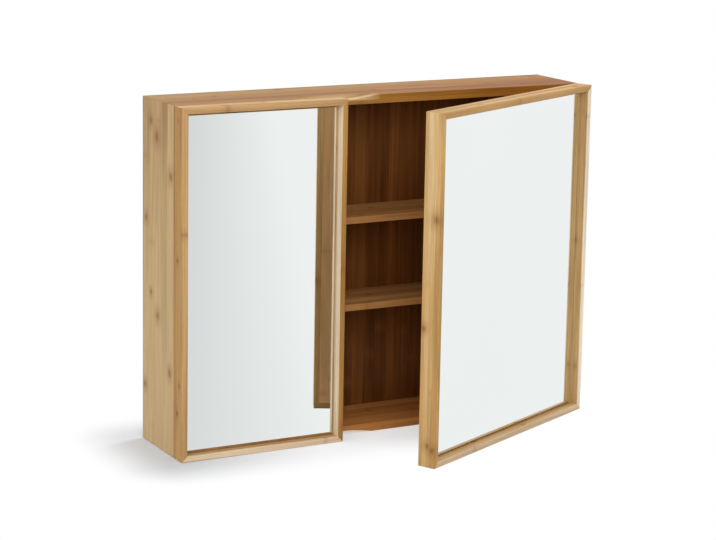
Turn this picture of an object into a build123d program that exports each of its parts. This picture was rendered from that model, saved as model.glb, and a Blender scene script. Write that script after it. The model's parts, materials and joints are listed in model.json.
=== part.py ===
from build123d import *
import math
import os

# Bathroom mirror cabinet: a mitred bamboo carcass with two fixed shelves, closed by a narrow door
# on the left and a wide door on the right. Each door is a deep, slim bamboo frame round a backboard
# that carries a sunk mirror. The cabinet hangs on the wall from two keyhole plates.
#
# Frame: X to the right as one faces the cabinet, Y into the wall, Z up, in millimetres.
# Origin: midway between the two keyhole entries, on the wall plane. The right door is modelled
# part open, which is its rest position.

# Overall sizes
cabinet_width = 660.0
cabinet_height = 500.0
carcass_depth = 110.5
door_depth = 28.0
door_gap = 1.5
edge_easing = 1.2

# Carcass boards
board_thickness = 13.0
back_thickness = 5.0
back_recess = 9.0
back_groove_depth = 4.0
back_slack = 0.5
groove_clearance = 0.1
spline_thickness = 3.0
spline_width = 11.0
spline_end_margin = 8.0
glue_clearance = 0.1

# Shelves, with heights taken from the cabinet's bottom to the shelf's underside
shelf_thickness = 10.0
shelf_setback = 6.0
lower_shelf_height = 183.0
upper_shelf_height = 312.0
dowel_radius = 3.0
dowel_length = 24.0
dowel_depth_in_side = 9.0
dowel_edge_margin = 18.0

# Finger pulls, cut where the doors meet
pull_length = 126.0
pull_rise = 6.5
pull_reach = 17.0

# Doors
left_door_width = 255.0
door_meeting_gap = 3.0
frame_width = 9.0
frame_inner_easing = 0.8
mirror_recess = 12.5
mirror_thickness = 3.0
mirror_gap = 3.0
mirror_bevel = 0.6
tape_thickness = 1.5
tape_width = 18.0
tape_edge_margin = 14.0
tape_end_margin = 25.0
right_door_opening = 26.0
bumper_radius = 3.5
bumper_clearance = 0.1
bumper_past_pull = 12.0

# Hinges, with the pin inside the hinge stile
hinge_end_margin = 62.0
hinge_axis_depth = 6.5
hinge_pin_radius = 1.2
hinge_pin_clearance = 0.05
hinge_eye_radius = 2.2
arm_thickness = 2.0
arm_height = 12.0
arm_reach = 46.0
arm_bend_radius = 3.0
arm_side_clearance = 0.4
cup_wall = 0.8
cup_sweep_clearance = 0.7
cup_pocket_clearance = 0.1
stile_skin = 2.0
flange_thickness = 1.2
flange_overhang = 9.5
flange_corner = 3.0
plate_thickness = 1.5
plate_depth = 24.0
plate_height = 44.0
plate_corner = 4.0
plate_rear_margin = 4.0

# Screws
plate_screw_radius = 1.6
plate_screw_head_radius = 3.2
plate_screw_length = 11.0
cup_screw_radius = 1.3
cup_screw_head_radius = 2.6
cup_screw_length = 8.0
hanger_screw_radius = 1.8
hanger_screw_head_radius = 3.4
hanger_screw_length = 22.0
screw_clearance = 0.1
screw_head_drop = 0.2
arm_screw_head_radius = 3.0
arm_screw_head_height = 1.2

# Wall hangers
hanger_side_inset = 50.0
hanger_drop = 33.0
hanger_thickness = 2.0
hanger_width = 40.0
hanger_height = 46.0
hanger_top_margin = 2.0
hanger_corner = 3.0
hanger_recess_clearance = 0.2
keyhole_entry_radius = 5.0
keyhole_slot_radius = 2.5
keyhole_rise = 10.0
hanger_screw_spacing = 26.0
hanger_screw_drop = 6.0

# How far a cutting block runs past the face it opens
cut_overshoot = 1.0

# Places worked out from the sizes above
half_width = cabinet_width / 2
cabinet_top = hanger_drop
cabinet_bottom = cabinet_top - cabinet_height
cabinet_middle = (cabinet_top + cabinet_bottom) / 2
carcass_front = -carcass_depth
door_back = carcass_front - door_gap
door_front = door_back - door_depth
inner_half_width = half_width - board_thickness
back_panel_front = -(back_recess + back_thickness)
right_door_width = cabinet_width - left_door_width - door_meeting_gap
doors_meet = -half_width + left_door_width + door_meeting_gap / 2
backboard_thickness = door_depth - mirror_recess - mirror_thickness - tape_thickness
hanger_x = half_width - hanger_side_inset
hinge_x = half_width - frame_width / 2
hinge_y = door_back - hinge_axis_depth
hinge_levels = {"upper": cabinet_top - hinge_end_margin, "lower": cabinet_bottom + hinge_end_margin}


def block(x_range, y_range, z_range):
    """A box between two corners."""
    sizes = [high - low for low, high in (x_range, y_range, z_range)]
    middle = [(low + high) / 2 for low, high in (x_range, y_range, z_range)]
    return Pos(*middle) * Box(*sizes)


def turned(shape, axis_x, axis_y, angle):
    """The shape turned about an upright axis."""
    return Pos(axis_x, axis_y, 0) * Rot(0, 0, angle) * Pos(-axis_x, -axis_y, 0) * shape


def joined(shapes):
    """Separate pieces kept side by side in one node."""
    return Compound([solid for shape in shapes for solid in shape.solids()])


# Mitred rings: the carcass and the door frames


def mitre_wedge(x_range, z_range, wall, y_range, side):
    """The space of one board of a four-sided ring, with its ends cut at 45 degrees."""
    (left, right), (low, high) = x_range, z_range
    outer = {
        "left": [(left, low), (left, high)],
        "right": [(right, high), (right, low)],
        "top": [(left, high), (right, high)],
        "bottom": [(right, low), (left, low)],
    }[side]
    inner = [(min(max(x, left + wall), right - wall), min(max(z, low + wall), high - wall)) for x, z in outer]
    face = Plane.XZ * make_face(Polyline(*outer, *reversed(inner), close=True))
    return Pos(0, y_range[1], 0) * extrude(face, y_range[1] - y_range[0])


def eased_block(x_range, y_range, z_range, radius):
    """A box with all its edges slightly rounded, as sanded wood has."""
    box = block(x_range, y_range, z_range)
    return fillet(box.edges(), radius)


# Carcass


def corner_splines(clearance=0.0):
    """Four tongues that cross the mitres inside the corners."""
    length = carcass_depth - back_recess - back_thickness - 2 * spline_end_margin
    middle_y = (carcass_front + back_panel_front) / 2
    tongues = []
    for x_side in (-1, 1):
        for z_side, z_edge in ((-1, cabinet_bottom), (1, cabinet_top)):
            place = Pos(x_side * (half_width - board_thickness / 2), middle_y, z_edge - z_side * board_thickness / 2)
            tongue = Box(spline_width + clearance, length + clearance, spline_thickness + clearance)
            tongues.append(place * Rot(0, -45 * x_side * z_side, 0) * tongue.mirror(Plane.YZ))
    return tongues


def dowel_places():
    """Centres of the dowels at each end of each shelf."""
    front = carcass_front + shelf_setback + dowel_edge_margin
    rear = back_panel_front - dowel_edge_margin
    for shelf_height in (lower_shelf_height, upper_shelf_height):
        level = cabinet_bottom + shelf_height + shelf_thickness / 2
        for y in (front, rear):
            for side in (-1, 1):
                yield side, y, level


def shelf_dowels(clearance=0.0):
    """Round dowels that pin the shelves between the sides."""
    length = dowel_length + clearance
    middle = inner_half_width + dowel_depth_in_side - dowel_length / 2
    peg = Rot(0, 90, 0) * Cylinder(dowel_radius + clearance, length)
    return [Pos(side * middle, y, level) * peg for side, y, level in dowel_places()]


def finger_pull(z_edge, z_side):
    """A shallow arched cut in a board's outer front edge, where the doors meet."""
    start = (doors_meet - pull_length / 2, z_edge)
    crest = (doors_meet, z_edge - z_side * pull_rise)
    end = (doors_meet + pull_length / 2, z_edge)
    above = z_edge + z_side * pull_rise
    outline = ThreePointArc(start, crest, end) + Polyline(end, (end[0], above), (start[0], above), start)
    face = Plane.XZ * make_face(outline)
    return Pos(0, carcass_front + pull_reach, 0) * extrude(face, pull_reach + edge_easing)


def carcass_boards():
    """The four mitred boards, grooved for the back and cut for everything that is let into them."""
    x_range = (-half_width, half_width)
    y_range = (carcass_front, 0)
    z_range = (cabinet_bottom, cabinet_top)
    inside_x = (-inner_half_width, inner_half_width)
    inside_z = (cabinet_bottom + board_thickness, cabinet_top - board_thickness)
    ring = eased_block(x_range, y_range, z_range, edge_easing)
    ring -= block(inside_x, (carcass_front - cut_overshoot, cut_overshoot), inside_z)
    ring -= block(
        (inside_x[0] - back_groove_depth, inside_x[1] + back_groove_depth),
        (back_panel_front - groove_clearance, -back_recess + groove_clearance),
        (inside_z[0] - back_groove_depth, inside_z[1] + back_groove_depth),
    )
    ring -= finger_pull(cabinet_top, 1)
    ring -= finger_pull(cabinet_bottom, -1)
    cutters = corner_splines(glue_clearance) + shelf_dowels(glue_clearance) + hanger_cuts()
    cutters += [hinge_plate_screw_cut(side, level) for side in (-1, 1) for level in hinge_levels.values()]
    for cutter in cutters:
        ring -= cutter
    names = {"left": "left_side", "right": "right_side", "top": "top_board", "bottom": "bottom_board"}
    return {
        name: ring & mitre_wedge(x_range, z_range, board_thickness, y_range, side)
        for side, name in names.items()
    }


def back_panel():
    """A thin panel that sits in a groove all round the carcass."""
    reach_x = inner_half_width + back_groove_depth - back_slack
    reach_z = cabinet_height / 2 - board_thickness + back_groove_depth - back_slack
    y_range = (back_panel_front, -back_recess)
    return block((-reach_x, reach_x), y_range, (cabinet_middle - reach_z, cabinet_middle + reach_z))


def shelf(shelf_height):
    """A fixed shelf between the sides, against the back panel, with an eased front edge."""
    low = cabinet_bottom + shelf_height
    y_range = (carcass_front + shelf_setback, back_panel_front)
    board = block((-inner_half_width, inner_half_width), y_range, (low, low + shelf_thickness))
    front_edges = board.faces().sort_by(Axis.Y)[0].edges().filter_by(Axis.X)
    board = fillet(front_edges, edge_easing)
    for cutter in shelf_dowels(glue_clearance):
        board -= cutter
    return board


# Screws


def countersunk_screw(length, radius, head_radius, clearance=0.0):
    """A screw with its flat head at the origin and its point down."""
    cone = head_radius - radius
    shank = Pos(0, 0, -length / 2) * Cylinder(radius + clearance, length)
    head = Pos(0, 0, -cone / 2) * Cone(radius + clearance, head_radius + clearance, cone)
    return head + shank


def screw_into_wall_side(x, z, length, radius, head_radius, clearance=0.0):
    """A screw driven forwards from the cabinet's rear, its head just under the surface."""
    screw = countersunk_screw(length, radius, head_radius, clearance)
    if clearance:
        screw += Pos(0, 0, screw_head_drop) * Cylinder(head_radius + clearance, 2 * screw_head_drop)
    return Pos(x, -screw_head_drop, z) * Rot(-90, 0, 0) * screw


# Wall hangers


def hanger_screw_level():
    """The hanger screws' height, above the back panel's groove."""
    return cabinet_top - hanger_screw_drop


def hanger_plate(side):
    """A flat steel plate let into the top board's rear edge, with a keyhole that hangs on a wall screw."""
    centre_x = side * hanger_x
    plate_top = cabinet_top - hanger_top_margin
    outline = Pos(0, plate_top - hanger_height / 2) * RectangleRounded(hanger_width, hanger_height, hanger_corner)
    slot = Pos(0, keyhole_rise / 2) * Rectangle(2 * keyhole_slot_radius, keyhole_rise)
    keyhole = Circle(keyhole_entry_radius) + slot + Pos(0, keyhole_rise) * Circle(keyhole_slot_radius)
    plate = Pos(centre_x, 0, 0) * extrude(Plane.XZ * (outline - keyhole), hanger_thickness)
    for x in hanger_screw_places(centre_x):
        plate -= hanger_screw(x, screw_clearance)
    return plate


def hanger_screw_places(centre_x):
    return (centre_x - hanger_screw_spacing / 2, centre_x + hanger_screw_spacing / 2)


def hanger_screw(x, clearance=0.0):
    return screw_into_wall_side(
        x, hanger_screw_level(), hanger_screw_length, hanger_screw_radius, hanger_screw_head_radius, clearance
    )


def hanger_cuts():
    """The top board's recesses for the hanger plates, and their screw holes."""
    cuts = []
    for side in (-1, 1):
        centre_x = side * hanger_x
        reach = hanger_width / 2 + hanger_recess_clearance
        top = cabinet_top - hanger_top_margin + hanger_recess_clearance
        cuts.append(
            block((centre_x - reach, centre_x + reach), (-hanger_thickness, cut_overshoot), (top - board_thickness, top))
        )
        cuts += [hanger_screw(x, screw_clearance) for x in hanger_screw_places(centre_x)]
    return cuts


# Hinges, drawn on the right with the door shut, and mirrored to the left


def sided(shape, side):
    """A right-hand piece, or its mirror image for the left."""
    return shape if side > 0 else shape.mirror(Plane.YZ)


def arm_line_x():
    """The middle of the arm's strap, which lies on its mounting plate."""
    return inner_half_width - plate_thickness - arm_thickness / 2


def plate_middle_y():
    return carcass_front + arm_reach - plate_rear_margin - plate_depth / 2


def hinge_arm(side, level):
    """A cranked strap whose eye turns on the pin, screwed to the mounting plate inside the carcass."""
    path = FilletPolyline(
        (hinge_x, hinge_y),
        (arm_line_x(), hinge_y),
        (arm_line_x(), carcass_front + arm_reach),
        radius=arm_bend_radius,
    )
    outline = trace(path, arm_thickness) + Pos(hinge_x, hinge_y) * Circle(hinge_eye_radius)
    outline -= Pos(hinge_x, hinge_y) * Circle(hinge_pin_radius + hinge_pin_clearance)
    arm = Pos(0, 0, level - arm_height / 2) * extrude(outline, arm_height)
    arm -= arm_screw_shape(level, screw_clearance)
    return sided(arm, side)


def arm_screw_shape(level, clearance=0.0):
    """The pan-head screw that clamps the arm to its plate, drawn on the right."""
    through = plate_thickness + arm_thickness
    shank = Cylinder(plate_screw_radius + clearance, through)
    if clearance:
        screw = shank
    else:
        head_lift = through / 2 + arm_screw_head_height / 2
        screw = shank + Pos(0, 0, head_lift) * Cylinder(arm_screw_head_radius, arm_screw_head_height)
    return Pos(inner_half_width - through / 2, plate_middle_y(), level) * Rot(0, -90, 0) * screw


def hinge_plate(side, level):
    """A winged mounting plate, screwed flat to the inside of the carcass side."""
    outline = RectangleRounded(plate_depth, plate_height, plate_corner)
    plate = extrude(Plane.YZ * outline, plate_thickness)
    plate = Pos(inner_half_width - plate_thickness, plate_middle_y(), level) * plate
    plate -= hinge_plate_screw_shapes(level, screw_clearance)
    plate -= arm_screw_shape(level, screw_clearance)
    return sided(plate, side)


def hinge_plate_screw_shapes(level, clearance=0.0):
    """Two screws through the plate's wings into the carcass side, drawn on the right."""
    offset = plate_height / 2 - 2 * plate_screw_head_radius
    screw = countersunk_screw(plate_screw_length, plate_screw_radius, plate_screw_head_radius, clearance)
    spot = Pos(inner_half_width - plate_thickness, plate_middle_y(), level)
    return joined([spot * Pos(0, 0, lift) * Rot(0, -90, 0) * screw for lift in (-offset, offset)])


def hinge_plate_screw_cut(side, level):
    return sided(hinge_plate_screw_shapes(level, screw_clearance), side)


def cup_inner_x():
    """The cup's end away from the stile, clear of the arm's sweep."""
    reach_x = hinge_x - (arm_line_x() - arm_thickness / 2)
    sweep = math.hypot(reach_x, hinge_axis_depth)
    return hinge_x - sweep - cup_sweep_clearance


def cup_half_height():
    return arm_height / 2 + arm_side_clearance + cup_wall


def cup_depth():
    """How deep the cup goes into the door: past the arm's eye, with a thin end wall."""
    return hinge_axis_depth + hinge_eye_radius + hinge_pin_clearance + cup_wall


def hinge_cup(side, level):
    """A folded steel cup let into the door's back: two cheeks that hold the pin, and a screwed flange."""
    outer_x = half_width - stile_skin - cup_pocket_clearance
    tall = cup_half_height()
    body = block((cup_inner_x(), outer_x), (door_back - cup_depth(), door_back), (level - tall, level + tall))
    flange_tall = tall + flange_overhang
    flange_middle = (cup_inner_x() + outer_x) / 2
    flange_face = RectangleRounded(outer_x - cup_inner_x(), 2 * flange_tall, flange_corner)
    flange = Pos(flange_middle, door_back, level) * extrude(Plane.XZ * flange_face, flange_thickness)
    gap_tall = arm_height / 2 + arm_side_clearance
    hollow = block(
        (cup_inner_x() + cup_wall, half_width),
        (door_back - cup_depth() + cup_wall, door_back + cut_overshoot),
        (level - gap_tall, level + gap_tall),
    )
    pin_hole = Pos(hinge_x, hinge_y, level) * Cylinder(hinge_pin_radius + hinge_pin_clearance, 2 * tall)
    cup = body + flange - hollow - pin_hole
    cup -= cup_screw_shapes(level, screw_clearance)
    return sided(cup, side)


def cup_pocket(side, level):
    """The cut in the hinge stile and the backboard that takes the cup and its flange."""
    outer_x = half_width - stile_skin
    inner_x = cup_inner_x() - cup_pocket_clearance
    tall = cup_half_height() + cup_pocket_clearance
    depth = cup_depth() + cup_pocket_clearance
    y_range = (door_back - depth, door_back + cut_overshoot)
    pocket = block((inner_x, outer_x), y_range, (level - tall, level + tall))
    flange_tall = tall + flange_overhang
    recess = block(
        (inner_x, outer_x),
        (door_back - flange_thickness, door_back + cut_overshoot),
        (level - flange_tall, level + flange_tall),
    )
    return sided(pocket + recess + cup_screw_shapes(level, screw_clearance), side)


def cup_screw_shapes(level, clearance=0.0):
    """Two screws through the cup's flange into the backboard, drawn on the right."""
    x = (cup_inner_x() + half_width - frame_width) / 2
    offset = cup_half_height() + flange_overhang / 2
    screw = countersunk_screw(cup_screw_length, cup_screw_radius, cup_screw_head_radius, clearance)
    return joined([Pos(x, door_back, level + lift) * Rot(-90, 0, 0) * screw for lift in (-offset, offset)])


def hinge_pin(side, level):
    """The pin, as long as the cup is tall."""
    pin = Cylinder(hinge_pin_radius, 2 * cup_half_height())
    return sided(Pos(hinge_x, hinge_y, level) * pin, side)


# Doors


def door_pieces(side_name, x_range, hinge_side):
    """One door, shut: mitred frame, backboard, mirror on tape, bumpers, and its half of the hinges."""
    left, right = x_range
    y_range = (door_front, door_back)
    z_range = (cabinet_bottom, cabinet_top)
    inside_x = (left + frame_width, right - frame_width)
    inside_z = (cabinet_bottom + frame_width, cabinet_top - frame_width)
    pockets = [cup_pocket(hinge_side, level) for level in hinge_levels.values()]

    ring = eased_block(x_range, y_range, z_range, edge_easing)
    ring -= block(inside_x, (door_front - cut_overshoot, door_back + cut_overshoot), inside_z)
    front_face = ring.faces().sort_by(Axis.Y)[0]
    ring = fillet(front_face.inner_wires().edges(), frame_inner_easing)
    for pocket in pockets:
        ring -= pocket
    hinge_name, free_name = ("left", "right") if hinge_side < 0 else ("right", "left")
    members = {hinge_name: "hinge_stile", free_name: "free_stile", "top": "top_rail", "bottom": "bottom_rail"}
    pieces = {
        f"{side_name}_door_{name}": ring & mitre_wedge(x_range, z_range, frame_width, y_range, side)
        for side, name in members.items()
    }

    backboard = block(inside_x, (door_back - backboard_thickness, door_back), inside_z)
    for pocket in pockets:
        backboard -= pocket
    pieces[f"{side_name}_door_backboard"] = backboard

    tape_front = door_back - backboard_thickness - tape_thickness
    strips = []
    tape_reach = inside_x[0] + tape_edge_margin
    tape_places = (tape_reach, (left + right) / 2 - tape_width / 2, inside_x[1] - tape_edge_margin - tape_width)
    for start in tape_places:
        strips.append(
            block(
                (start, start + tape_width),
                (tape_front, tape_front + tape_thickness),
                (inside_z[0] + tape_end_margin, inside_z[1] - tape_end_margin),
            )
        )
    pieces[f"{side_name}_mirror_tape"] = joined(strips)

    glass = block(
        (inside_x[0] + mirror_gap, inside_x[1] - mirror_gap),
        (tape_front - mirror_thickness, tape_front),
        (inside_z[0] + mirror_gap, inside_z[1] - mirror_gap),
    )
    glass = chamfer(glass.faces().sort_by(Axis.Y)[0].edges(), mirror_bevel)
    pieces[f"{side_name}_mirror"] = glass

    bumper_height = door_gap - bumper_clearance
    bumper_x = doors_meet + hinge_side * (pull_length / 2 + bumper_past_pull)
    bumper = Rot(90, 0, 0) * Cylinder(bumper_radius, bumper_height)
    bumper_levels = (cabinet_bottom + frame_width / 2, cabinet_top - frame_width / 2)
    pieces[f"{side_name}_door_bumpers"] = joined(
        [Pos(bumper_x, door_back + bumper_height / 2, level) * bumper for level in bumper_levels]
    )

    screws = []
    for level_name, level in hinge_levels.items():
        pieces[f"{side_name}_{level_name}_hinge_cup"] = hinge_cup(hinge_side, level)
        pieces[f"{side_name}_{level_name}_hinge_pin"] = hinge_pin(hinge_side, level)
        screws += sided(cup_screw_shapes(level), hinge_side).solids()
    pieces[f"{side_name}_hinge_cup_screws"] = joined(screws)
    return pieces


def carcass_pieces():
    """Everything that stays on the wall."""
    pieces = carcass_boards()
    pieces["back_panel"] = back_panel()
    pieces["lower_shelf"] = shelf(lower_shelf_height)
    pieces["upper_shelf"] = shelf(upper_shelf_height)
    pieces["corner_splines"] = joined(corner_splines())
    pieces["shelf_dowels"] = joined(shelf_dowels())
    hanger_screws = []
    for name, side in (("left", -1), ("right", 1)):
        pieces[f"{name}_hanger_plate"] = hanger_plate(side)
        hanger_screws += [hanger_screw(x) for x in hanger_screw_places(side * hanger_x)]
        plate_screws = []
        for level_name, level in hinge_levels.items():
            pieces[f"{name}_{level_name}_hinge_arm"] = hinge_arm(side, level)
            pieces[f"{name}_{level_name}_hinge_plate"] = hinge_plate(side, level)
            plate_screws += sided(hinge_plate_screw_shapes(level), side).solids()
            plate_screws += sided(arm_screw_shape(level), side).solids()
        pieces[f"{name}_hinge_plate_screws"] = joined(plate_screws)
    pieces["hanger_screws"] = joined(hanger_screws)
    return pieces


# The whole cabinet, written one file for each piece

pieces = carcass_pieces()
pieces |= door_pieces("left", (-half_width, -half_width + left_door_width), -1)
for name, shape in door_pieces("right", (half_width - right_door_width, half_width), 1).items():
    pieces[name] = turned(shape, hinge_x, hinge_y, right_door_opening)

os.makedirs("parts", exist_ok=True)
for name, shape in pieces.items():
    export_step(shape, f"parts/{name}.step")
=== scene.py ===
import json
import math

import bmesh
import bpy
from mathutils import Matrix, Vector


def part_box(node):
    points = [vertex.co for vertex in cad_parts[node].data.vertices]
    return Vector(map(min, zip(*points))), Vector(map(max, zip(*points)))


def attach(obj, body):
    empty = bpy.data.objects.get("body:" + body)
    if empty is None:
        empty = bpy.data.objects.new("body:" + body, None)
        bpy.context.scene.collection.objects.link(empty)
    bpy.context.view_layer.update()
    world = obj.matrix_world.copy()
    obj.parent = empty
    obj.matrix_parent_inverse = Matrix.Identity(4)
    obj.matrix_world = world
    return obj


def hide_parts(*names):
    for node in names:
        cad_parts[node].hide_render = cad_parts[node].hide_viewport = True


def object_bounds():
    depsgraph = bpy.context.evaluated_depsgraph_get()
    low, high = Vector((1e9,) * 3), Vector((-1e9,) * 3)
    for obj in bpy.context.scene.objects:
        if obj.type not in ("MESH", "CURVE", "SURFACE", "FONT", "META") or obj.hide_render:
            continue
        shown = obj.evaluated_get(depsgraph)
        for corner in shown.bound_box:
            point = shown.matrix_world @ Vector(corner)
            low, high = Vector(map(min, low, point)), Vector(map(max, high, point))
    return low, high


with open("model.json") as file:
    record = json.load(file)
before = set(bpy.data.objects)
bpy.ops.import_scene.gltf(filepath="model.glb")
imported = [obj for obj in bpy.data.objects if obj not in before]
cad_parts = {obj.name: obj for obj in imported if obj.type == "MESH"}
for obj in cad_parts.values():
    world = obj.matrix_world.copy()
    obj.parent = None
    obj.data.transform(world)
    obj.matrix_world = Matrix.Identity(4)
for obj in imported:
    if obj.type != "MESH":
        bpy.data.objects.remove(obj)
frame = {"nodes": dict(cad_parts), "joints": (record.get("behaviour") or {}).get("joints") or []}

# Camera
# It stands to the left of the cabinet and a little above it, with a long lens. The lens is shifted
# slightly, because the photograph is a cut from a wider picture.
image_width = 716
image_height = 540
focal_length_pixels = 2202.2
lens_axis_pixels = (300.0, 200.0)
camera_azimuth = math.radians(-27.0)
camera_elevation = math.radians(10.45)
camera_roll = math.radians(0.74)
camera_offset = (-0.0961, 0.0851, 3.2468)
camera_target = (0.0, -0.06, -0.217)
camera_data = bpy.data.cameras.new("camera")
camera_data.sensor_width = 36
camera_data.lens = focal_length_pixels * camera_data.sensor_width / image_width
camera_data.shift_x = (image_width / 2 - lens_axis_pixels[0]) / image_width
camera_data.shift_y = (lens_axis_pixels[1] - image_height / 2) / image_width
camera_data.clip_end = 50
camera = bpy.data.objects.new("camera", camera_data)
bpy.context.scene.collection.objects.link(camera)
camera.matrix_world = (
    Matrix.Translation(camera_target)
    @ Matrix.Rotation(camera_azimuth, 4, "Z")
    @ Matrix.Rotation(math.radians(90) - camera_elevation, 4, "X")
    @ Matrix.Rotation(camera_roll, 4, "Z")
    @ Matrix.Translation(camera_offset)
)
bpy.context.scene.camera = camera
bpy.context.scene.view_settings.view_transform = "Standard"


# Studio
# A white world, three soft lamps and a floor that takes the cabinet's shadow. The floor fades to plain
# white a little way from the cabinet and is clear from below. A mirror sees a soft gradient in its place.
cad_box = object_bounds()


class Wire:
    """A shader socket. Arithmetic on wires adds Math nodes to their tree."""

    def __init__(self, socket):
        self.socket = socket

    def node(self, kind, settings, inputs, output=0):
        """Adds a node to this wire's tree, sets it up, feeds its sockets and returns one output."""
        tree = self.socket.id_data
        node = tree.nodes.new(kind)
        for name, value in settings.items():
            if name == "stops":
                steps = node.color_ramp.elements
                while len(steps) < len(value):
                    steps.new(0.5)
                for step, (spot, colour) in zip(steps, value):
                    step.position = spot
                    step.color = (*colour, 1)
            else:
                setattr(node, name, value)
        for name, value in inputs.items():
            if isinstance(value, Wire):
                tree.links.new(value.socket, node.inputs[name])
            else:
                node.inputs[name].default_value = value
        return Wire(node.outputs[output])

    def math(self, operation, *others):
        """A Math node with this wire as its first value."""
        inputs = dict(enumerate((self, *others)))
        return self.node("ShaderNodeMath", {"operation": operation}, inputs)

    def __add__(self, other):
        return self.math("ADD", other)

    __radd__ = __add__

    def __sub__(self, other):
        return self.math("SUBTRACT", other)

    def __rsub__(self, other):
        return self.node("ShaderNodeMath", {"operation": "SUBTRACT"}, {0: other, 1: self})

    def __mul__(self, other):
        return self.math("MULTIPLY", other)

    __rmul__ = __mul__


def light_path(tree, *rays):
    """One for these kinds of ray and nothing for the light that falls on the cabinet."""
    path = tree.nodes.new("ShaderNodeLightPath")
    seen = Wire(path.outputs[rays[0]])
    for ray in rays[1:]:
        seen = seen.math("MAXIMUM", Wire(path.outputs[ray]))
    return seen


def axes_of(place):
    """The X, Y and Z of a vector."""
    outputs = place.node("ShaderNodeSeparateXYZ", {}, {0: place}).socket.node.outputs
    return {axis: Wire(outputs[axis]) for axis in "XYZ"}


def ramped(wire, low, high, from_value, to_value, kind="SMOOTHSTEP"):
    """A change from one value to another while the wire goes from low to high."""
    span = {"Value": wire, "From Min": low, "From Max": high, "To Min": from_value, "To Max": to_value}
    return wire.node("ShaderNodeMapRange", {"interpolation_type": kind}, span)


def diagonal(first, second):
    """The length of a diagonal from its two sides."""
    return (first * first + second * second).math("SQRT")


floor_gap = 0.0004
floor_reach = 30.0
floor_mesh = bpy.data.meshes.new("floor")
floor_level = cad_box[0].z - floor_gap
floor_signs = ((-1, -1), (1, -1), (1, 1), (-1, 1))
floor_corners = [(x * floor_reach, y * floor_reach, floor_level) for x, y in floor_signs]
floor_mesh.from_pydata(floor_corners, [], [(0, 1, 2, 3)])
floor = bpy.data.objects.new("floor", floor_mesh)
bpy.context.scene.collection.objects.link(floor)

floor_paint = bpy.data.materials.new("white_floor")
floor_paint.use_nodes = True
floor_tree = floor_paint.node_tree
floor_tree.nodes.clear()
floor_camera = light_path(floor_tree, "Is Camera Ray")
floor_mirrored = light_path(floor_tree, "Is Glossy Ray", "Is Transmission Ray")
floor_axes = axes_of(Wire(floor_tree.nodes.new("ShaderNodeTexCoord").outputs["Object"]))

# Under the cabinet the floor is matt, so it shows the shadow, and on the right it glows a little
floor_colour = (0.64, 0.66, 0.68)
glow_starts = -0.42
glow_is_full = 0.0
full_glow = 0.5
floor_glow = ramped(floor_axes["X"], glow_starts, glow_is_full, 0.0, full_glow)
floor_matt = floor_camera.node("ShaderNodeBsdfDiffuse", {}, {"Color": (*floor_colour, 1)})
floor_glowing = floor_camera.node("ShaderNodeEmission", {}, {"Strength": floor_camera * floor_glow})
floor_near = floor_camera.node("ShaderNodeAddShader", {}, {0: floor_matt, 1: floor_glowing})

# Past the shadow's reach it is plain white to the camera
shadow_reach = 0.11
foot_middle = (cad_box[0] + cad_box[1]) / 2
foot_half_width = cad_box[1].x
foot_half_depth = 0.07
beside_x = ((floor_axes["X"] - foot_middle.x).math("ABSOLUTE") - foot_half_width).math("MAXIMUM", 0.0)
beside_y = ((floor_axes["Y"] + foot_half_depth).math("ABSOLUTE") - foot_half_depth).math("MAXIMUM", 0.0)
floor_far = ramped(diagonal(beside_x, beside_y), 0.0, shadow_reach, 0.0, 1.0)
floor_blank = floor_camera.node("ShaderNodeEmission", {}, {"Strength": floor_camera})
floor_seen = floor_camera.node(
    "ShaderNodeMixShader", {}, {0: floor_far * floor_camera, 1: floor_near, 2: floor_blank}
)

# A mirror sees it darker at the front left than at the back right
reflected_dark = 0.67
reflected_light = 0.89
dark_until = -0.32
light_from = -0.1
slant = floor_axes["X"] * 0.73 + floor_axes["Y"] * 0.335
floor_white = ramped(slant, dark_until, light_from, reflected_dark, reflected_light, "LINEAR")
floor_plain = floor_camera.node("ShaderNodeEmission", {}, {"Strength": floor_white})
floor_above = floor_camera.node("ShaderNodeMixShader", {}, {0: floor_mirrored, 1: floor_seen, 2: floor_plain})
floor_under = Wire(floor_tree.nodes.new("ShaderNodeNewGeometry").outputs["Backfacing"])
floor_clear = floor_camera.node("ShaderNodeBsdfTransparent", {}, {})
floor_both = floor_camera.node("ShaderNodeMixShader", {}, {0: floor_under, 1: floor_above, 2: floor_clear})
floor_out = floor_tree.nodes.new("ShaderNodeOutputMaterial")
floor_tree.links.new(floor_both.socket, floor_out.inputs["Surface"])
floor_mesh.materials.append(floor_paint)

# The world is white to the camera, and a little darker to mirrors and as light
world_fill = 0.7
world = bpy.data.worlds.new("studio")
bpy.context.scene.world = world
world.use_nodes = True
world_tree = world.node_tree
world_tree.nodes.clear()
world_camera = light_path(world_tree, "Is Camera Ray")
world_mirrored = light_path(world_tree, "Is Glossy Ray", "Is Transmission Ray")
to_camera = world_camera * (1 - world_fill)
to_mirrors = world_mirrored * (reflected_light - world_fill)
world_look = {"Color": (1, 1, 1, 1), "Strength": to_camera + to_mirrors + world_fill}
world_glow = world_camera.node("ShaderNodeBackground", {}, world_look)
world_out = world_tree.nodes.new("ShaderNodeOutputWorld")
world_tree.links.new(world_glow.socket, world_out.inputs["Surface"])


def soft_lamp(name, place, width, power):
    """A large square lamp, aimed at the cabinet, that no mirror or camera sees."""
    lamp_data = bpy.data.lights.new(name, "AREA")
    lamp_data.shape = "SQUARE"
    lamp_data.size = width
    lamp_data.energy = power
    lamp = bpy.data.objects.new(name, lamp_data)
    bpy.context.scene.collection.objects.link(lamp)
    lamp.location = place
    lamp.rotation_euler = (Vector(lamp_aim) - Vector(place)).to_track_quat("-Z", "Y").to_euler()
    lamp.visible_glossy = False
    lamp.visible_camera = False


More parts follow.
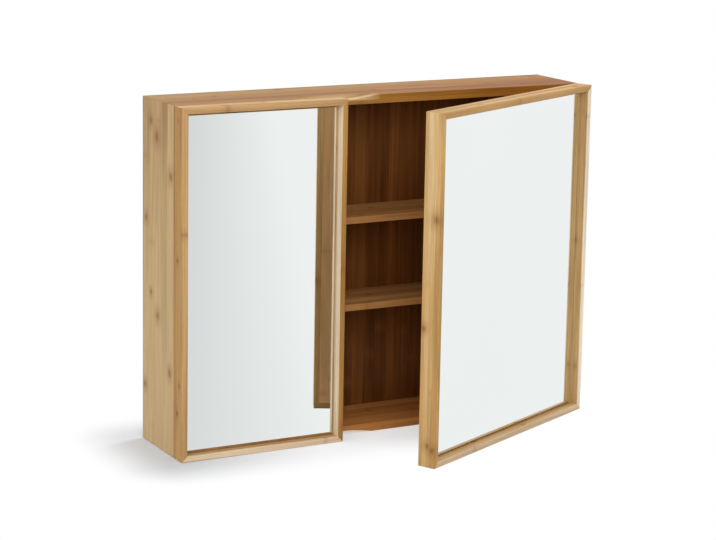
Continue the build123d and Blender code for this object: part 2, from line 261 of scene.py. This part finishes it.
lamp_aim = (0.0, -0.1, -0.2)
soft_lamp("front_lamp", place=(-1.0, -3.0, 1.3), width=1.8, power=44)
soft_lamp("left_lamp", place=(-2.6, -0.6, 0.5), width=1.4, power=14)
soft_lamp("right_lamp", place=(1.5, 0.5, 1.7), width=0.6, power=26)


# Carcass boards
# Four boards of solid bamboo, edge-glued from long strips, mitred at the corners and clear-lacquered.
# The grain runs up the sides and along the top and bottom, so no end grain shows.
def tone(red, green, blue):
    """An 8-bit screen colour as the linear colour that shaders take."""
    return tuple(math.pow((part / 255 + 0.055) / 1.055, 2.4) for part in (red, green, blue))


def new_material(name):
    """An empty material with a Principled shader, and the wire of its Object coordinates."""
    material = bpy.data.materials.new(name)
    material.use_nodes = True
    tree = material.node_tree
    tree.nodes.clear()
    shader = tree.nodes.new("ShaderNodeBsdfPrincipled")
    output = tree.nodes.new("ShaderNodeOutputMaterial")
    tree.links.new(shader.outputs["BSDF"], output.inputs["Surface"])
    return material, shader, Wire(tree.nodes.new("ShaderNodeTexCoord").outputs["Object"])


def feed(shader, socket, wire):
    """Links a wire to one of the shader's sockets."""
    shader.id_data.links.new(wire.socket, shader.inputs[socket])


def mixed(first, second, factor):
    """Two colours mixed by a wire."""
    tree = factor.socket.id_data
    mix = tree.nodes.new("ShaderNodeMix")
    mix.data_type = "RGBA"
    tree.links.new(factor.socket, mix.inputs[0])
    for socket, value in ((mix.inputs[6], first), (mix.inputs[7], second)):
        if isinstance(value, Wire):
            tree.links.new(value.socket, socket)
        else:
            socket.default_value = (*value, 1)
    return Wire(mix.outputs[2])


def near(offset, reach):
    """One at no distance, fading softly to nothing at the reach on either side."""
    return ramped(offset.math("ABSOLUTE"), 0.0, reach, 1.0, 0.0)


def dress(node_name, material):
    """Gives a CAD piece its finished material."""
    data = frame["nodes"][node_name].data
    data.materials.clear()
    data.materials.append(material)


door_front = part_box("left_door_free_stile")[0].y

# The finger pull's mouth in the top board, where its cut is drawn pale as painted light
doors_meet = -0.0735
pull_half_length = 0.066
pull_middle = -0.102
pull_half_depth = 0.0105
pull_level = 0.0295
pull_half_height = 0.0044

# The stem's joints and the glue lines
joint_spacing = 0.23
speck_radius = 0.005
stain_radius = 0.014
seam_reach = 0.00035

# The colours of stains and knots, of painted light on front faces, in the finger pull and on an inner face,
# and of painted shade along the boards' rear edges
knot_brown = tone(138, 84, 38)
rear_shade_tone = tone(70, 45, 24)
pull_painted_light = tone(238, 214, 170)
front_highlight_tone = tone(232, 214, 186)
inner_face_light_tone = tone(240, 222, 190)


def bamboo(
    name,
    along,
    across,
    strip_width,
    stops,
    seed,
    rise=0.0,
    knots=(),
    painted_front_highlight=0.0,
    painted_face_light=None,
    painted_rear_shade=0.0,
    pull_light_level=None,
    turn=0.0,
    pivot=(0, 0, 0),
):
    """Lacquered bamboo: strips of differing hue, fibres, fine glue lines, and the stem's joints as knots,
    with painted light and painted shade where a piece asks for them.

    The rise is how far the hue moves up the stops in a metre along the grain. A door that stands open
    gives its turn and pivot, so that its pattern lies as it does when the door is shut.
    """
    material, shader, place = new_material(name)
    shift = -(Matrix.Rotation(-turn, 3, "Z") @ Vector(pivot))
    placing = {"Vector": place, "Location": tuple(shift), "Rotation": (0, 0, -turn)}
    axes = axes_of(place.node("ShaderNodeMapping", {}, placing))
    run = axes.pop(along)
    side = axes.pop(across)
    depth = axes.popitem()[1]

    # The strips, each with its own lot of hue and place of its joints
    count = side * (1 / strip_width) + seed
    strip = count.math("FLOOR")
    within = count.math("FRACT") - 0.5
    strip_seed = {"W": strip * 1.37 + seed}
    lot = strip.node("ShaderNodeTexWhiteNoise", {"noise_dimensions": "1D"}, strip_seed, "Color")
    lots = lot.node("ShaderNodeSeparateColor", {}, {0: lot}).socket.node
    hue_lot, phase_lot, side_lot = (Wire(lots.outputs[part]) for part in ("Red", "Green", "Blue"))
    seam = near(0.5 - within.math("ABSOLUTE"), seam_reach / strip_width)

    # Slow drift of hue along a strip, then long and short fibres
    def fibres(run_scale, side_scale, detail):
        stretched = {0: run * run_scale + hue_lot * 40, 1: side * side_scale, 2: depth * side_scale}
        vector = run.node("ShaderNodeCombineXYZ", {}, stretched)
        settings = {"Vector": vector, "Scale": 1.0, "Detail": detail, "Roughness": 0.6}
        return run.node("ShaderNodeTexNoise", {}, settings)

    drift = fibres(run_scale=6.0, side_scale=70.0, detail=1.0)
    streak = fibres(run_scale=4.0, side_scale=260.0, detail=2.0)
    long_fibre = fibres(run_scale=9.0, side_scale=600.0, detail=3.0)
    short_fibre = fibres(run_scale=80.0, side_scale=1500.0, detail=2.0)

    # The stem's joints: now and then a small dark knot across part of a strip, in a soft stain. Where
    # a board has knots with places of their own, the scattered ones are faint
    step = run * (1 / joint_spacing) + phase_lot * 9
    joint_seed = {"Vector": step.node("ShaderNodeCombineXYZ", {}, {0: step.math("FLOOR"), 1: strip * 3.1})}
    joint_lot = step.node("ShaderNodeTexWhiteNoise", {"noise_dimensions": "2D"}, joint_seed, "Value")
    ahead = (step.math("FRACT") - joint_lot * 0.5 - 0.25) * joint_spacing
    aside = (within - (side_lot - 0.5) * 0.5) * (strip_width * 0.4)
    strength = joint_lot.math("POWER", 1.5)
    if knots:
        strength = strength * 0.25
    knot = near(diagonal(ahead, aside), speck_radius) * strength
    stain = near(diagonal(ahead, aside), stain_radius) * strength
    for knot_run, knot_side, knot_size in knots:
        gap = diagonal((run - knot_run) * 0.8, side - knot_side)
        knot = knot.math("MAXIMUM", near(gap + (long_fibre - 0.5) * 0.003, knot_size) * 0.9)
        stain = stain.math("MAXIMUM", near(gap, knot_size * 2.6))

    # The colour, with knots and streaks stained darker, then painted light on front faces, in the finger pull
    # and on an inner face, and painted shade along rear edges
    hue = hue_lot * 0.75 + (drift - 0.5) * 0.7 + run * rise + 0.12
    colour = hue.node("ShaderNodeValToRGB", {"stops": stops}, {"Fac": hue})
    colour = mixed(colour, knot_brown, stain * 0.4 + knot * 0.35 + ramped(streak, 0.45, 0.8, 0.0, 0.3))
    # Painted light: a door member's front face drawn paler, as if lit from the front and catching white on
    # its eased edges
    if painted_front_highlight:
        colour = mixed(colour, front_highlight_tone, near(side - (door_front - pivot[1]), 0.003) * painted_front_highlight)
    # Painted light: the finger pull's cut in the top board drawn pale, as if lit
    if pull_light_level is not None:
        pull_lit = near(run - doors_meet, pull_half_length).math("POWER", 0.3) * 0.75
        pull_lit = pull_lit * near(side - pull_middle, pull_half_depth).math("POWER", 0.15)
        pull_lit = pull_lit * near(depth - pull_light_level, pull_half_height).math("POWER", 0.15)
        colour = mixed(colour, pull_painted_light, pull_lit)
    # Painted shade: a dark band on and along a board's rear edge
    if painted_rear_shade:
        colour = mixed(colour, rear_shade_tone, near(side, 0.0035) * painted_rear_shade)
    # Painted light: a pale band on a stile's inner face, as if lit from the left
    if painted_face_light is not None:
        colour = mixed(colour, inner_face_light_tone, near(depth - painted_face_light, 0.0012) * 0.8)
    level = (drift - 0.5) * 0.2 + (streak - 0.5) * 0.75
    level = level + (long_fibre - 0.5) * 0.8 + (short_fibre - 0.5) * 0.3
    level = level - seam * 0.16 - knot * 0.14 + 1.02
    colour = colour.node("ShaderNodeVectorMath", {"operation": "SCALE"}, {0: colour, "Scale": level})
    feed(shader, "Base Color", colour)

    # A satin lacquer that the fibres, seams and knots show through
    feed(shader, "Roughness", long_fibre * 0.14 + knot * 0.15 + 0.42)
    height = long_fibre * 0.6 + short_fibre * 0.4 - seam * 0.5 - knot * 0.6
    relief = {"Strength": 0.3, "Distance": 0.0002, "Height": height}
    feed(shader, "Normal", height.node("ShaderNodeBump", {}, relief, "Normal"))
    shader.inputs["Specular IOR Level"].default_value = 0.2
    shader.inputs["Coat Weight"].default_value = 0.03
    shader.inputs["Coat Roughness"].default_value = 0.25
    return material


side_tones = [
    (0.0, tone(136, 108, 66)),
    (0.3, tone(160, 124, 82)),
    (0.6, tone(176, 146, 98)),
    (1.0, tone(194, 164, 116)),
]
top_tones = [
    (0.0, tone(130, 74, 12)),
    (0.4, tone(150, 100, 34)),
    (0.7, tone(160, 114, 50)),
    (1.0, tone(166, 128, 70)),
]
bottom_tones = [
    (0.0, tone(180, 112, 54)),
    (0.5, tone(200, 134, 70)),
    (1.0, tone(214, 154, 88)),
]

# Each knot's place along the grain and across it, and its radius
side_knots = [
    (0.002, -0.031, 0.0075),
    (-0.0185, -0.051, 0.0095),
    (-0.068, -0.100, 0.008),
    (-0.139, -0.013, 0.0065),
    (-0.244, -0.031, 0.005),
    (-0.274, -0.055, 0.0075),
    (-0.348, -0.097, 0.007),
    (-0.384, -0.010, 0.006),
]
board_strip = 0.021
top_strip = 0.016
# Painted shade along the rear edge of every carcass board
board_look = {"painted_rear_shade": 0.5}
left_look = {"rise": -1.8, "knots": side_knots, **board_look}
# The top board has painted light in its finger pull
top_look = {"rise": -0.9, "pull_light_level": pull_level, **board_look}
dress("left_side", bamboo("left_side_bamboo", "Z", "Y", board_strip, side_tones, 3.2, **left_look))
dress("right_side", bamboo("right_side_bamboo", "Z", "Y", board_strip, side_tones, 11.6, **board_look))
dress("top_board", bamboo("top_bamboo", "X", "Y", top_strip, top_tones, 5.4, **top_look))
dress("bottom_board", bamboo("bottom_bamboo", "X", "Y", board_strip, bottom_tones, 23.8, **board_look))


# Back panel and shelves
# The thin back stands in a groove with its grain upright. The two shelves are thinner boards on
# dowels, with their grain from side to side.
# Far darker than the shelves' tones: painted shade for the dim inside of the cabinet
back_shade_tones = [
    (0.0, tone(82, 46, 17)),
    (0.5, tone(102, 60, 25)),
    (1.0, tone(126, 79, 36)),
]
inner_tones = [
    (0.0, tone(164, 112, 62)),
    (0.5, tone(184, 132, 80)),
    (1.0, tone(200, 152, 98)),
]
panel_strip = 0.019
dress("back_panel", bamboo("back_bamboo", "Z", "X", panel_strip, back_shade_tones, 7.7))
dress("lower_shelf", bamboo("lower_shelf_bamboo", "X", "Y", board_strip, inner_tones, 17.3))
dress("upper_shelf", bamboo("upper_shelf_bamboo", "X", "Y", board_strip, inner_tones, 29.9))


# Corner splines and shelf dowels
# Plain beech joinery. The splines cross the carcass's glued mitres, and the dowels carry the shelves'
# ends in the sides, so hardly any of it shows.
beech_strip = 0.004
beech_tones = [
    (0.0, tone(205, 170, 130)),
    (1.0, tone(218, 186, 146)),
]
beech = bamboo("beech", "X", "Y", beech_strip, beech_tones, 2.5)
dress("corner_splines", beech)
dress("shelf_dowels", beech)


# Doors
# Each door is a mitred frame of slim, deep bamboo members round a bamboo backboard. The right door
# is part open at rest, so its grain is turned with it.
door_tones = [
    (0.0, tone(164, 116, 62)),
    (0.3, tone(182, 138, 82)),
    (0.65, tone(194, 156, 102)),
    (1.0, tone(208, 180, 134)),
]
hinge_edge_tones = [
    (0.0, tone(152, 100, 46)),
    (0.5, tone(176, 132, 72)),
    (1.0, tone(196, 156, 96)),
]
free_edge_tones = [
    (0.0, tone(172, 128, 70)),
    (0.5, tone(194, 156, 100)),
    (1.0, tone(212, 184, 140)),
]
backboard_tones = [
    (0.0, tone(194, 146, 92)),
    (0.5, tone(212, 166, 112)),
    (1.0, tone(224, 184, 132)),
]
free_edge_knots = [
    (-0.115, -0.015, 0.008),
    (-0.269, 0.002, 0.005),
    (-0.436, -0.008, 0.0055),
    (-0.441, -0.016, 0.006),
]
stile_inner_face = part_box("left_door_free_stile")[0].x
# Each piece's own tones, the painted light on its front face, and the painted light on the left door's free
# stile's inner face
own_looks = {
    "left_door_hinge_stile": {"stops": hinge_edge_tones, "rise": -0.3, "painted_front_highlight": 0.1},
    "left_door_free_stile": {"stops": hinge_edge_tones, "rise": 0.5, "painted_face_light": stile_inner_face},
    "left_door_top_rail": {"painted_front_highlight": 0.1},
    "left_door_bottom_rail": {"painted_front_highlight": 0.6},
    "right_door_hinge_stile": {"painted_front_highlight": 1.0},
    "right_door_free_stile": {"stops": free_edge_tones, "rise": 0.6, "knots": free_edge_knots},
    "right_door_bottom_rail": {"painted_front_highlight": 0.4},
}
member_grain = {"hinge_stile": "Z", "free_stile": "Z", "top_rail": "X", "bottom_rail": "X"}
member_strip = 0.0072
member_seed_step = 6.4
backboard_seed_step = 5
first_seeds = {"left": 4.3, "right": 31.1}
right_door_opening = math.radians(26)
right_door_joint = next(joint for joint in frame["joints"] if joint["name"] == "right_door_swing")
right_door_pivot = right_door_joint["pos_m"]
doors = {
    "left": {"turn": 0.0, "pivot": (0, 0, 0)},
    "right": {"turn": right_door_opening, "pivot": right_door_pivot},
}
for door, placing in doors.items():
    seed = first_seeds[door]
    for member, grain in member_grain.items():
        seed += member_seed_step
        name = f"{door}_door_{member}"
        look = {"stops": door_tones, **own_looks.get(name, {}), **placing}
        dress(name, bamboo(f"{name}_bamboo", grain, "Y", member_strip, seed=seed, **look))
    name = f"{door}_door_backboard"
    seed += backboard_seed_step
    dress(name, bamboo(f"{name}_bamboo", "Z", "X", panel_strip, backboard_tones, seed, **placing))


# Mirrors
# 3 mm silvered float glass with a ground edge, stuck on with foam tape and sunk into the frame with a
# narrow gap all round.
mirror_material, mirror_shader, mirror_place = new_material("mirror_glass")
haze = mirror_place.node("ShaderNodeTexNoise", {}, {"Vector": mirror_place, "Scale": 2.5, "Detail": 2.0})
dust = mirror_place.node("ShaderNodeTexNoise", {}, {"Vector": mirror_place, "Scale": 180.0, "Detail": 3.0})
feed(mirror_shader, "Base Color", mixed((0.93, 0.965, 0.96), (0.97, 0.995, 0.99), haze))
feed(mirror_shader, "Roughness", dust * 0.012 + 0.004)
mirror_shader.inputs["Metallic"].default_value = 1.0
for door in doors:
    dress(f"{door}_mirror", mirror_material)

tape_material, tape_shader, tape_place = new_material("foam_tape")
cells = tape_place.node("ShaderNodeTexVoronoi", {}, {"Vector": tape_place, "Scale": 1800.0})
feed(tape_shader, "Base Color", mixed(tone(214, 214, 208), tone(236, 236, 232), cells))
tape_shader.inputs["Roughness"].default_value = 0.9
for door in doors:
    dress(f"{door}_mirror_tape", tape_material)


# Door bumpers
# Small clear pads of soft plastic with a domed face. They are stuck on the back of each door's rails,
# beside the finger pulls, and soften the closing.
bumper_material, bumper_shader, bumper_place = new_material("clear_bumper")
cloud = bumper_place.node("ShaderNodeTexNoise", {}, {"Vector": bumper_place, "Scale": 400.0})
feed(bumper_shader, "Base Color", mixed(tone(214, 214, 206), tone(236, 236, 230), cloud))
feed(bumper_shader, "Roughness", cloud * 0.15 + 0.2)
swing = Matrix.Translation(right_door_pivot) @ Matrix.Rotation(right_door_opening, 4, "Z")
swing = swing @ Matrix.Translation(-Vector(right_door_pivot))
door_rest = {"left": Matrix.Identity(4), "right": swing}


def new_piece(name, mesh, material, body, node_name):
    """A finished piece that rides on a body and stands for a CAD node."""
    mesh.materials.clear()
    mesh.materials.append(material)
    piece = bpy.data.objects.new(name, mesh)
    bpy.context.scene.collection.objects.link(piece)
    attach(piece, body)
    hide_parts(node_name)


bumper_radius = 0.0035
bumper_height = 0.0014
bumper_profile = [(1.0, 0.0), (1.0, 0.35), (0.93, 0.65), (0.75, 0.86), (0.4, 0.97), (0.0, 1.0)]


def domed_pads(name, seats):
    """A pad on each seat, spun from one profile and closed at its base."""
    pads = bmesh.new()
    for seat in seats:
        spots = [seat @ Vector((out * bumper_radius, 0, up * bumper_height)) for out, up in bumper_profile]
        path = [pads.verts.new(spot) for spot in spots]
        edges = [pads.edges.new(pair) for pair in zip(path, path[1:])]
        turning = {"axis": seat.col[2].xyz, "cent": seat.translation, "angle": math.tau, "steps": 32}
        bmesh.ops.spin(pads, geom=path + edges, use_merge=True, **turning)
    bmesh.ops.remove_doubles(pads, verts=pads.verts, dist=0.00001)
    bmesh.ops.holes_fill(pads, edges=pads.edges)
    bmesh.ops.recalc_face_normals(pads, faces=pads.faces)
    mesh = bpy.data.meshes.new(name)
    pads.to_mesh(mesh)
    pads.free()
    mesh.shade_smooth()
    return mesh


bumper_from_meeting = 0.075
bumper_from_end = 0.0045
bumper_levels = (cad_box[0].z + bumper_from_end, cad_box[1].z - bumper_from_end)
door_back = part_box("left_door_free_stile")[1].y
facing_back = Matrix.Rotation(math.radians(-90), 4, "X")
for door, sign in (("left", -1), ("right", 1)):
    bumper_x = doors_meet + sign * bumper_from_meeting
    places = [Matrix.Translation((bumper_x, door_back, level)) for level in bumper_levels]
    pads = domed_pads(f"{door}_bumper_pads", [door_rest[door] @ place @ facing_back for place in places])
    new_piece(f"{door}_bumper_pads", pads, bumper_material, f"{door}_door", f"{door}_door_bumpers")


# Hinges and hangers
# Each hinge is nickel-plated steel: a cranked arm turns on a pin in a cup let into the door's back, and
# is clamped to a plate on the side. Two zinc-plated keyhole plates are let into the top board's rear.
def plated(name, colour, grain, roughness):
    """Plated steel with fine brushed lines and faint smudges."""
    material, shader, place = new_material(name)
    stretched = place.node("ShaderNodeMapping", {}, {"Vector": place, "Scale": grain})
    lines = place.node("ShaderNodeTexNoise", {}, {"Vector": stretched, "Scale": 1.0, "Detail": 4.0})
    smudge = place.node("ShaderNodeTexNoise", {}, {"Vector": place, "Scale": 60.0, "Detail": 2.0})
    darker = tuple(part * 0.8 for part in colour)
    feed(shader, "Base Color", mixed(darker, colour, lines * 0.6 + smudge * 0.4))
    feed(shader, "Roughness", lines * 0.16 + smudge * 0.1 + roughness)
    bump = lines.node("ShaderNodeBump", {}, {"Strength": 0.2, "Distance": 0.0001, "Height": lines}, "Normal")
    feed(shader, "Normal", bump)
    shader.inputs["Metallic"].default_value = 1.0
    return material


nickel = plated("nickel_plate", (0.86, 0.84, 0.80), (4000, 4000, 90), 0.34)
zinc = plated("zinc_plate", (0.68, 0.70, 0.72), (3000, 3000, 120), 0.3)
for side in ("left", "right"):
    for level in ("upper", "lower"):
        for part in ("arm", "plate", "cup", "pin"):
            dress(f"{side}_{level}_hinge_{part}", nickel)
    dress(f"{side}_hanger_plate", zinc)


# Screws
# Zinc-plated steel screws with cross recesses. The hangers, hinge plates and hinge cups have
# countersunk ones, and a pan-head screw clamps each hinge arm to its plate.
screw_zinc = plated("screw_zinc", (0.7, 0.7, 0.7), (2000, 2000, 2000), 0.25)
screw_sizes = ("Shank radius", "Shank length", "Head radius", "Head base radius", "Head height", "Head lift")


def screw_group():
    """A node group that sets one screw on each point, its head along the point's own direction."""
    group = bpy.data.node_groups.new("screws", "GeometryNodeTree")
    group.interface.new_socket("Points", in_out="INPUT", socket_type="NodeSocketGeometry")
    for label in screw_sizes:
        group.interface.new_socket(label, in_out="INPUT", socket_type="NodeSocketFloat")
    group.interface.new_socket("Material", in_out="INPUT", socket_type="NodeSocketMaterial")
    group.interface.new_socket("Screws", in_out="OUTPUT", socket_type="NodeSocketGeometry")
    given = group.nodes.new("NodeGroupInput")
    value = {socket.name: Wire(socket) for socket in given.outputs if socket.name}
    start = value["Points"]

    def offset(z):
        return start.node("ShaderNodeCombineXYZ", {}, {"Z": z})

    def moved(geometry, z):
        return start.node("GeometryNodeTransform", {}, {"Geometry": geometry, "Translation": offset(z)})

    cylinder = {"Vertices": 24, "Radius": value["Shank radius"], "Depth": value["Shank length"]}
    shank = moved(start.node("GeometryNodeMeshCylinder", {}, cylinder), value["Shank length"] * -0.5)
    cone = {
        "Vertices": 32,
        "Radius Top": value["Head radius"],
        "Radius Bottom": value["Head base radius"],
        "Depth": value["Head height"],
    }
    head = moved(start.node("GeometryNodeMeshCone", {}, cone), value["Head lift"] - value["Head height"])
    blade_long = value["Head radius"] * 1.15
    blade_wide = value["Head radius"] * 0.26
    blade_deep = value["Head height"] * 1.1
    for x_size, y_size in ((blade_long, blade_wide), (blade_wide, blade_long)):
        size = start.node("ShaderNodeCombineXYZ", {}, {"X": x_size, "Y": y_size, "Z": blade_deep})
        blade = moved(start.node("GeometryNodeMeshCube", {}, {"Size": size}), value["Head lift"])
        meshes = {"Mesh 1": head, "Mesh 2": blade}
        head = start.node("GeometryNodeMeshBoolean", {"operation": "DIFFERENCE"}, meshes)
    joined = group.nodes.new("GeometryNodeJoinGeometry")
    group.links.new(shank.socket, joined.inputs[0])
    group.links.new(head.socket, joined.inputs[0])
    aim = start.node("GeometryNodeInputNamedAttribute", {"data_type": "FLOAT_VECTOR"}, {"Name": "aim"})
    facing = start.node("FunctionNodeAlignRotationToVector", {"axis": "Z"}, {"Vector": aim})
    placed = {"Points": start, "Instance": Wire(joined.outputs[0]), "Rotation": facing}
    screws = start.node("GeometryNodeInstanceOnPoints", {}, placed)
    screws = start.node("GeometryNodeRealizeInstances", {}, {"Geometry": screws})
    screws = start.node("GeometryNodeSetMaterial", {}, {"Geometry": screws, "Material": value["Material"]})
    result = group.nodes.new("NodeGroupOutput")
    group.links.new(screws.socket, result.inputs["Screws"])
    return group


screw_nodes = screw_group()


def countersunk(shank_radius, shank_length, head_radius, head_height):
    """The sizes of a screw whose flat head lies level with the face it is driven into."""
    return dict(zip(screw_sizes, (shank_radius, shank_length, head_radius, shank_radius, head_height, 0.0)))


hanger_screw = countersunk(0.0018, 0.022, 0.0034, 0.0016)
plate_screw = countersunk(0.0016, 0.011, 0.0032, 0.0016)
cup_screw = countersunk(0.0013, 0.008, 0.0026, 0.0013)
arm_screw = dict(zip(screw_sizes, (0.0016, 0.0035, 0.0026, 0.003, 0.0012, 0.0012)))


def screw_mesh(name, kind, places, aim):
    """The screws of one kind at their places, made by the node group and kept as a mesh."""
    points = bpy.data.meshes.new(f"{name}_places")
    points.from_pydata([tuple(place) for place in places], [], [])
    attribute = points.attributes.new("aim", "FLOAT_VECTOR", "POINT")
    for item in attribute.data:
        item.vector = aim
    carrier = bpy.data.objects.new(f"{name}_places", points)
    bpy.context.scene.collection.objects.link(carrier)
    modifier = carrier.modifiers.new("screws", "NODES")
    modifier.node_group = screw_nodes
    for socket in screw_nodes.interface.items_tree:
        if socket.in_out == "INPUT" and socket.name in kind:
            modifier[socket.identifier] = kind[socket.name]
        if socket.in_out == "INPUT" and socket.name == "Material":
            modifier[socket.identifier] = screw_zinc
    evaluated = carrier.evaluated_get(bpy.context.evaluated_depsgraph_get())
    mesh = bpy.data.meshes.new_from_object(evaluated)
    bpy.data.objects.remove(carrier)
    return mesh


def fused(name, meshes):
    """Several meshes kept as one."""
    whole = bmesh.new()
    for mesh in meshes:
        whole.from_mesh(mesh)
    mesh = bpy.data.meshes.new(name)
    whole.to_mesh(mesh)
    whole.free()
    return mesh


def middle_of(node_name):
    """The middle of a CAD piece's box."""
    low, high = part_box(node_name)
    return (low + high) / 2


hanger_screw_level = 0.027
hanger_screw_aside = 0.013
head_drop = 0.0002
places = []
for side in ("left", "right"):
    plate_x = middle_of(f"{side}_hanger_plate").x
    for shift in (-hanger_screw_aside, hanger_screw_aside):
        places.append((plate_x + shift, -head_drop, hanger_screw_level))
screws = screw_mesh("hanger_screws", hanger_screw, places, (0, 1, 0))
new_piece("zinc_hanger_screws", screws, screw_zinc, "carcass", "hanger_screws")

plate_face_x = 0.3155
plate_screw_rise = 0.0156
arm_thickness = 0.002
for side, inward in (("left", 1), ("right", -1)):
    face_x = -inward * plate_face_x
    flat_places = []
    pan_places = []
    for level in ("upper", "lower"):
        plate = middle_of(f"{side}_{level}_hinge_plate")
        flat_places += [(face_x, plate.y, plate.z + lift) for lift in (-plate_screw_rise, plate_screw_rise)]
        pan_places.append((face_x + inward * arm_thickness, plate.y, plate.z))
    flat = screw_mesh(f"{side}_plate_screws", plate_screw, flat_places, (inward, 0, 0))
    pan = screw_mesh(f"{side}_arm_screws", arm_screw, pan_places, (inward, 0, 0))
    node_name = f"{side}_hinge_plate_screws"
    screws = fused(node_name, (flat, pan))
    new_piece(f"{side}_zinc_plate_screws", screws, screw_zinc, "carcass", node_name)

cup_screw_x = 0.3161
cup_screw_rise = 0.01195
for door, sign in (("left", -1), ("right", 1)):
    places = []
    for level in ("upper", "lower"):
        cup_z = middle_of(f"{door}_{level}_hinge_cup").z
        for lift in (-cup_screw_rise, cup_screw_rise):
            places.append((sign * cup_screw_x, door_back, cup_z + lift))
    places = [door_rest[door] @ Vector(place) for place in places]
    aim = door_rest[door].to_3x3() @ Vector((0, 1, 0))
    screws = screw_mesh(f"{door}_cup_screws", cup_screw, places, aim)
    node_name = f"{door}_hinge_cup_screws"
    new_piece(f"{door}_zinc_cup_screws", screws, screw_zinc, f"{door}_door", node_name)
